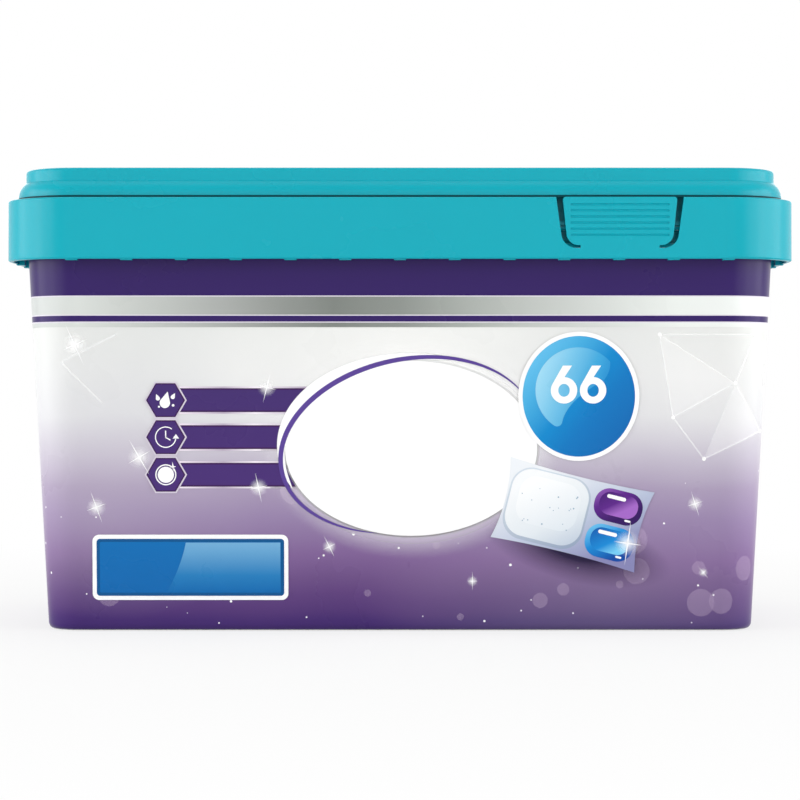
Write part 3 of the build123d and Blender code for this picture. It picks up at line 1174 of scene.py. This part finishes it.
    def badge(self):
        tones = colours()
        centre = (51.7, 68.1)
        half = sizes().badge_half / MM
        tall = half * 1.068
        printed("print_badge_rim", [[ellipse(centre, (half, tall))]], self.SHAPE + 4, self.white)
        lit = (-0.77, 0, 0.64)
        middle = lit[0] * centre[0] + lit[2] * centre[1]
        stops = [
            (0.0, ink(0, 104, 178)),
            (0.3, ink(0, 118, 190)),
            (0.52, ink(0, 136, 204)),
            (0.78, ink(66, 170, 222)),
            (1.0, tones.sky),
        ]
        blue = fade_ink("ink_badge", lit, middle - 16.5, middle + 16.5, stops)
        inner = (half - 1.25, tall - 1.25)
        printed("print_badge", [[ellipse(centre, inner)]], self.SHAPE + 5, blue)
        x, z = centre
        round_middle, far, tip, low = (x - 0.2, z + 1.8), 12.35, 1.5, 236
        crescent = arc(round_middle, (far, far), 42, low, 60)
        tip_middle = arc(round_middle, (far - tip, far - tip), low, low, 1)[0]
        crescent += arc(tip_middle, (tip, tip), low, 348, 12)[1:]
        crescent += bow(crescent[-1], (x - 3.6, z - 1.2), (x + 7.2, z + 4.6), 24)[1:]
        crescent += bow((x + 7.2, z + 4.6), (x + 9.4, z + 7.6), crescent[0], 8)[1:-1]
        side = (-0.93, 0, 0.37)
        middle = side[0] * x + side[2] * z
        stops = [
            (0.0, ink(20, 138, 206)),
            (0.3, ink(62, 166, 218)),
            (0.65, ink(118, 196, 232)),
            (1.0, ink(160, 218, 242)),
        ]
        gloss = fade_ink("ink_badge_gloss", side, middle - 7, middle + 13, stops)
        printed("print_badge_gloss", [[crescent]], self.SHAPE + 6, gloss)
        bowl = 3.82
        digits = [six((x + side * 4.2 - 0.1, z + 1.75), bowl) for side in (-1, 1)]
        printed("print_number", digits, self.SHAPE + 7, self.white)

    def strips(self):
        purples = [(0.0, ink(72, 44, 116)), (1.0, ink(64, 42, 108))]
        deep = fade_ink("ink_strip", (0, 0, 1), 40, 74, purples)
        edge = plain_ink("ink_strip_edge", ink(62, 26, 84))
        stops = [(0.0, ink(246, 236, 246)), (0.35, ink(190, 176, 196))]
        stops += [(0.6, ink(250, 244, 250)), (1.0, ink(176, 160, 184))]
        shine = fade_ink("ink_strip_shine", (1, 0, 0), -64, -27, stops)
        half = sizes().hexagon_half / MM
        icons = (self.drop_icon, self.clock_icon, self.plate_icon)
        rows = ((67.0, -27.0), (56.3, -31.0), (45.4, -27.5))
        for number, ((z, right), icon) in enumerate(zip(rows, icons), 1):
            for label, reach, layer, material in (
                ("shine", 3.95, 0, shine),
                ("edge", 3.45, 0.5, edge),
                ("fill", 2.95, 1, deep),
            ):
                low, high = z - reach, z + reach
                box = [(-66, low), (right, low), (right, high), (-66, high)]
                printed(f"print_strip_{label}_{number}", [[box]], self.BAND + layer, material)
            centre = (-67.8, z)
            for label, by, layer, material in (
                ("hexagon_rim", 0, 1, self.pale),
                ("hexagon_edge", 0.5, 2, edge),
                ("hexagon", 0.95, 3, deep),
            ):
                shape = [[hexagon(centre, half - by)]]
                printed(f"print_{label}_{number}", shape, self.SHAPE + layer, material)
            printed(f"print_icon_{number}", icon(centre), self.SHAPE + 4, self.white)

    def drop_icon(self, centre):
        """Drops shaken off."""
        x, z = centre
        big = turned(drop((x, z - 0.8), 1.5), centre, -14)
        return [
            [big],
            [turned(drop((x - 2.2, z + 0.5), 0.6), (x - 2.2, z + 0.5), 20)],
            [turned(drop((x + 2.1, z + 0.9), 0.6), (x + 2.1, z + 0.9), -30)],
            [disc((x + 2.2, z - 1.5), 0.38, 16)],
            [disc((x - 1.9, z - 1.9), 0.3, 16)],
        ]

    def clock_icon(self, centre):
        """A clock's hands inside a round arrow."""
        x, z = centre
        radius = 3.1
        tip = (x + radius - 0.14, z + 0.9)
        return [
            [band_arc(centre, radius, 0.3, 52, 350)],
            [[tip, (tip[0] - 0.95, tip[1] - 1.3), (tip[0] + 0.95, tip[1] - 1.3)]],
            [line((x, z - 0.15), (x, z + 1.9), 0.34)],
            [line((x - 0.15, z), (x + 1.35, z - 0.85), 0.34)],
        ]

    def plate_icon(self, centre):
        """A clean plate with a glint."""
        x, z = centre
        glint = star((x + 2.1, z + 2.3), 1.5, 8, waist=0.2)
        return [
            [disc(centre, 2.35)],
            [disc(centre, 3.05), disc(centre, 2.7)],
            [glint],
        ]

    def panel(self):
        """The blank blue panel, with its white rim, dark edge and slanting gloss."""
        low, high = (-89.2, 9.0), (-32.4, 28.0)

        def inset(by, corner):
            return [[rounded_box((low[0] + by, low[1] + by), (high[0] - by, high[1] - by), corner)]]

        printed("print_panel_rim", inset(0, 1.9), self.SHAPE, self.white)
        edge = plain_ink("ink_panel_edge", ink(0, 84, 142))
        printed("print_panel_edge", inset(1.2, 1.0), self.SHAPE + 1, edge)
        blue = fade_ink(
            "ink_panel", (0, 0, 1), 9, 28, [(0.0, ink(0, 102, 174)), (1.0, ink(0, 110, 180))]
        )
        printed("print_panel", inset(2.1, 0.5), self.SHAPE + 2, blue)
        top, foot = high[1] - 2.3, low[1] + 2.1
        right = high[0] - 2.3
        slant = bow((-62.1, top), (-63.4, 19.0), (-67.7, foot), 12)
        gloss = slant + [(right, foot), (right, top)]
        stops = [(0.0, ink(0, 104, 174)), (0.35, ink(34, 126, 188)), (1.0, ink(116, 176, 216))]
        lit = fade_ink("ink_panel_gloss", (0, 0, 1), foot, top, stops)
        printed("print_panel_gloss", [[gloss]], self.SHAPE + 3, lit)

    def picture(self):
        """A plain picture of one pac: a powder pillow with two gel pods on its right."""
        centre = (50.0, 33.8)
        tilt = -14
        dark = ink(30, 16, 56)
        ground = (51.5, 24.0)
        shade = soft_ink("ink_picture_shadow", dark, ground, (28, 10), 1.5, 1.1, tilt)
        outline = turned(ellipse(ground, (28, 10), 48), ground, tilt)
        printed("print_picture_shadow", [[outline]], self.PATTERN + 1, shade)
        x, z = centre

        def put(name, outline, layer, material):
            printed(name, [[turned(outline, centre, tilt)]], self.SHAPE + 2 + layer, material)

        def box(low, high, corner):
            return rounded_box((x + low[0], z + low[1]), (x + high[0], z + high[1]), corner, 10)

        def lit_ink(name, stops, half, across=0.0, up=0.0):
            """A fade lit from the upper left, centred on a point of the picture."""
            lit = (-0.42, 0, 0.91)
            level = lit[0] * (x + across) + lit[2] * (z + up)
            return fade_ink(name, lit, level - half, level + half, stops)

        corners = ((21.5, 12.0), (-21.5, 12.0), (-21.5, -12.0), (21.5, -12.0))
        film_outline = []
        for number, (across, up) in enumerate(corners):
            after = corners[(number + 1) % 4]
            lean = ((across + after[0]) / 2 * 0.86, (up + after[1]) / 2 * 0.86)
            start, end = (x + across, z + up), (x + after[0], z + after[1])
            film_outline += bow(start, (x + lean[0], z + lean[1]), end, 12)[:-1]
        film = lit_ink(
            "ink_picture_film",
            [(0.0, ink(136, 136, 182)), (0.4, ink(186, 196, 218)), (1.0, ink(240, 244, 248))],
            15,
        )
        put("print_picture_film", film_outline, 0.0, film)
        powder_edge = lit_ink(
            "ink_picture_edge", [(0.0, ink(150, 166, 190)), (1.0, ink(212, 222, 232))], 12, -8
        )
        put("print_picture_edge", box((-19.6, -10.6), (4.2, 10.6), 6.2), 0.3, powder_edge)
        powder = lit_ink(
            "ink_picture_powder",
            [(0.0, ink(196, 208, 222)), (0.35, ink(228, 235, 240)), (1.0, ink(248, 250, 251))],
            11,
            -8,
        )
        put("print_picture_powder", box((-19.1, -9.6), (3.6, 10.2), 5.8), 0.6, powder)
        crown = lit_ink(
            "ink_picture_crown", [(0.0, ink(222, 231, 238)), (1.0, ink(253, 254, 254))], 9, -8, 1
        )
        put("print_picture_crown", box((-16.6, -5.6), (1.4, 8.4), 4.8), 1.0, crown)
        blues = (ink(0, 74, 164), ink(16, 138, 214), ink(118, 206, 244))
        purples = (ink(50, 12, 92), ink(92, 34, 136), ink(164, 104, 198))
        for name, low, high, (deep, middle, light) in (
            ("blue", (5.2, -10.2), (19.4, -0.4), blues),
            ("purple", (5.2, 0.6), (19.4, 10.2), purples),
        ):
            across, up = (low[0] + high[0]) / 2, (low[1] + high[1]) / 2
            stops = [(0.0, deep), (0.45, middle), (1.0, light)]
            base = lit_ink(f"ink_picture_{name}", stops, 6.5, across, up)
            put(f"print_picture_{name}", box(low, high, 4.4), 0.6, base)
            stops = [(0.0, light), (0.3, middle), (1.0, deep)]
            inner = lit_ink(f"ink_picture_{name}_crown", stops, 5, across, up)
            crown_box = box((low[0] + 1.4, low[1] + 1.9), (high[0] - 1.4, high[1] - 1.0), 3.2)
            put(f"print_picture_{name}_crown", crown_box, 1.0, inner)
            glint = box((low[0] + 3.2, high[1] - 2.9), (low[0] + 8.8, high[1] - 1.8), 0.55)
            put(f"print_picture_{name}_glint", glint, 1.3, self.white)
            spark = box((high[0] - 4.4, low[1] + 1.1), (high[0] - 2.6, low[1] + 1.7), 0.3)
            put(f"print_picture_{name}_spark", spark, 1.3, self.white)
        draw = random.Random(sizes().seed)
        specks = []
        for _ in range(18):
            place = (x + draw.uniform(-16.5, 1.5), z + draw.uniform(-6.0, 7.6))
            specks.append([turned(disc(place, draw.uniform(0.12, 0.26), 8), centre, tilt)])
        grey = plain_ink("ink_speck", ink(150, 176, 196))
        printed("print_picture_specks", specks, self.SHAPE + 3.3, grey)

    def sparkles(self):
        """Bright stars, each on a soft glow."""
        white = colours().white
        for number, (x, z, reach, turn, layer) in enumerate(
            (
                (-94, 83, 6.5, 24, self.PATTERN + 1),
                (-75.5, 50.5, 6.0, 30, self.SHAPE + 5),
                (-88, 36, 5.0, 20, self.PATTERN + 1),
                (-41, 41.7, 4.6, 12, self.SHAPE + 5),
                (-38.5, 70.7, 4.6, -14, self.SHAPE + 5),
                (-20.5, 24.5, 3.6, 26, self.PATTERN + 1),
                (66, 25.5, 6.6, -8, self.SHAPE + 9),
                (85.5, 37, 4.0, 18, self.PATTERN + 1),
                (21, 14.5, 2.8, 0, self.PATTERN + 1),
                (88, 17, 2.4, 40, self.PATTERN + 1),
            )
        ):
            centre, halo = (x, z), reach * 0.62
            glow = soft_ink(f"glow_sparkle_{number}", white, centre, (halo, halo), 1.0, 1.5)
            printed(f"print_glow_{number}", [[disc(centre, halo, 24)]], layer, glow)
            shape = [[star(centre, reach, turn, waist=0.05)]]
            printed(f"print_sparkle_{number}", shape, layer + 0.5, self.white)


class TUB_OT_stage(bpy.types.Operator):
    """Sets the camera, the lamps, the floor and the white surroundings"""

    bl_idname = "tub.stage"
    bl_label = "Stage"

    def execute(self, context):
        self.camera(context)
        self.world(context)
        self.floor(context)
        self.lamps(context)
        context.scene.view_settings.view_transform = "Standard"
        return {"FINISHED"}

    def camera(self, context):
        stage = context.scene.stage_sizes
        data = bpy.data.cameras.new("camera")
        data.lens = stage.lens
        data.sensor_width = 36
        camera = bpy.data.objects.new("camera", data)
        context.scene.collection.objects.link(camera)
        height = (CAD_BOX[0].z + CAD_BOX[1].z) / 2
        camera.location = (0, CAD_BOX[0].y - stage.distance, height)
        camera.rotation_euler = (math.radians(90), 0, 0)
        context.scene.camera = camera

    def seen(self, tree):
        """1 for rays that come from the camera, from gloss or through glass."""
        path = wire(tree, "ShaderNodeLightPath").outputs
        straight = math_node(tree, "MAXIMUM", path["Is Camera Ray"], path["Is Transmission Ray"])
        return math_node(tree, "MAXIMUM", straight, path["Is Glossy Ray"])

    def world(self, context):
        world = bpy.data.worlds.new("surroundings")
        context.scene.world = world
        world.use_nodes = True
        tree = world.node_tree
        tree.nodes.clear()
        lit = wire(tree, "ShaderNodeBackground", {"Color": (1.0, 0.995, 0.98, 1), "Strength": 0.4})
        white = wire(tree, "ShaderNodeBackground", {"Color": (1, 1, 1, 1), "Strength": 1.0})
        links = {0: self.seen(tree), 1: lit.outputs[0], 2: white.outputs[0]}
        mix = wire(tree, "ShaderNodeMixShader", links)
        wire(tree, "ShaderNodeOutputWorld", {0: mix.outputs[0]})

    def floor(self, context):
        half = context.scene.stage_sizes.floor
        corners = [(-half, -half, 0), (half, -half, 0), (half, half, 0), (-half, half, 0)]
        mesh = mesh_from("floor", corners, [(0, 1, 2, 3)])
        floor = bpy.data.objects.new("floor", mesh)
        context.scene.collection.objects.link(floor)
        material = bpy.data.materials.new("floor_white")
        material.use_nodes = True
        tree = material.node_tree
        shader = tree.nodes["Principled BSDF"]
        shader.inputs["Base Color"].default_value = (0.86, 0.86, 0.86, 1)
        shader.inputs["Roughness"].default_value = 0.9
        far = vector_node(tree, "LENGTH", {0: object_place(tree)})
        span = {"Value": far.outputs["Value"], "From Min": 0.13, "From Max": 0.42, "To Min": 0.72}
        clear = wire(tree, "ShaderNodeMapRange", span)
        share = math_node(tree, "MULTIPLY", clear.outputs[0], self.seen(tree))
        glow = wire(tree, "ShaderNodeEmission", {"Color": (1, 1, 1, 1), "Strength": 1.0})
        links = {0: share, 1: shader.outputs[0], 2: glow.outputs[0]}
        mix = wire(tree, "ShaderNodeMixShader", links)
        tree.links.new(mix.outputs[0], tree.nodes["Material Output"].inputs[0])
        mesh.materials.append(material)

    def lamps(self, context):
        strength = context.scene.stage_sizes.light
        middle = Vector((0, 0, 0.065))
        sides = (("left", -1), ("right", 1))
        lamps = [("front", (0, -1.6, 0.55), (1.6, 1.0), 3.4)]
        for name, side in sides:
            lamps.append((f"{name}_edge", (side * 1.15, -0.15, 0.2), (0.9, 1.0), 8.5))
        for name, side in sides:
            lamps.append((name, (side, -0.72, 0.25), (0.6, 1.0), 4.2))
        lamps.append(("top", (0, 0.1, 1.2), (1.4, 1.4), 4.0))
        lamps.append(("back", (0, 1.5, 0.6), (1.4, 0.8), 5.0))
        for name, place, size, power in lamps:
            data = bpy.data.lights.new(name, "AREA")
            data.shape = "RECTANGLE"
            data.size, data.size_y = size
            data.energy = power * strength
            lamp = bpy.data.objects.new(name, data)
            context.scene.collection.objects.link(lamp)
            lamp.location = place
            aim = middle - Vector(place)
            lamp.rotation_euler = aim.to_track_quat("-Z", "Y").to_euler()


class TUB_PT_panel(bpy.types.Panel):
    """The steps that finish the tub, in order"""

    bl_label = "Tablet Tub"
    bl_idname = "TUB_PT_panel"
    bl_space_type = "VIEW_3D"
    bl_region_type = "UI"
    bl_category = "Tablet Tub"

    def draw(self, context):
        for step in STEPS:
            self.layout.operator(step.bl_idname)


STEPS = (TUB_OT_stage, TUB_OT_closure, TUB_OT_label, TUB_OT_pacs)
SETTINGS = {
    "tub_colours": TubColours,
    "print_sizes": PrintSizes,
    "pac_sizes": PacSizes,
    "stage_sizes": StageSizes,
}


def register():
    for kind in (*SETTINGS.values(), *STEPS, TUB_PT_panel):
        bpy.utils.register_class(kind)
    for name, kind in SETTINGS.items():
        setattr(bpy.types.Scene, name, bpy.props.PointerProperty(type=kind))


def unregister():
    for name in SETTINGS:
        delattr(bpy.types.Scene, name)
    for kind in (TUB_PT_panel, *reversed(STEPS), *SETTINGS.values()):
        bpy.utils.unregister_class(kind)


def main():
    register()
    make_surface_group()
    bpy.ops.tub.stage()
    bpy.ops.tub.closure()
    bpy.ops.tub.label()
    bpy.ops.tub.pacs()


if __name__ == "__main__":
    main()
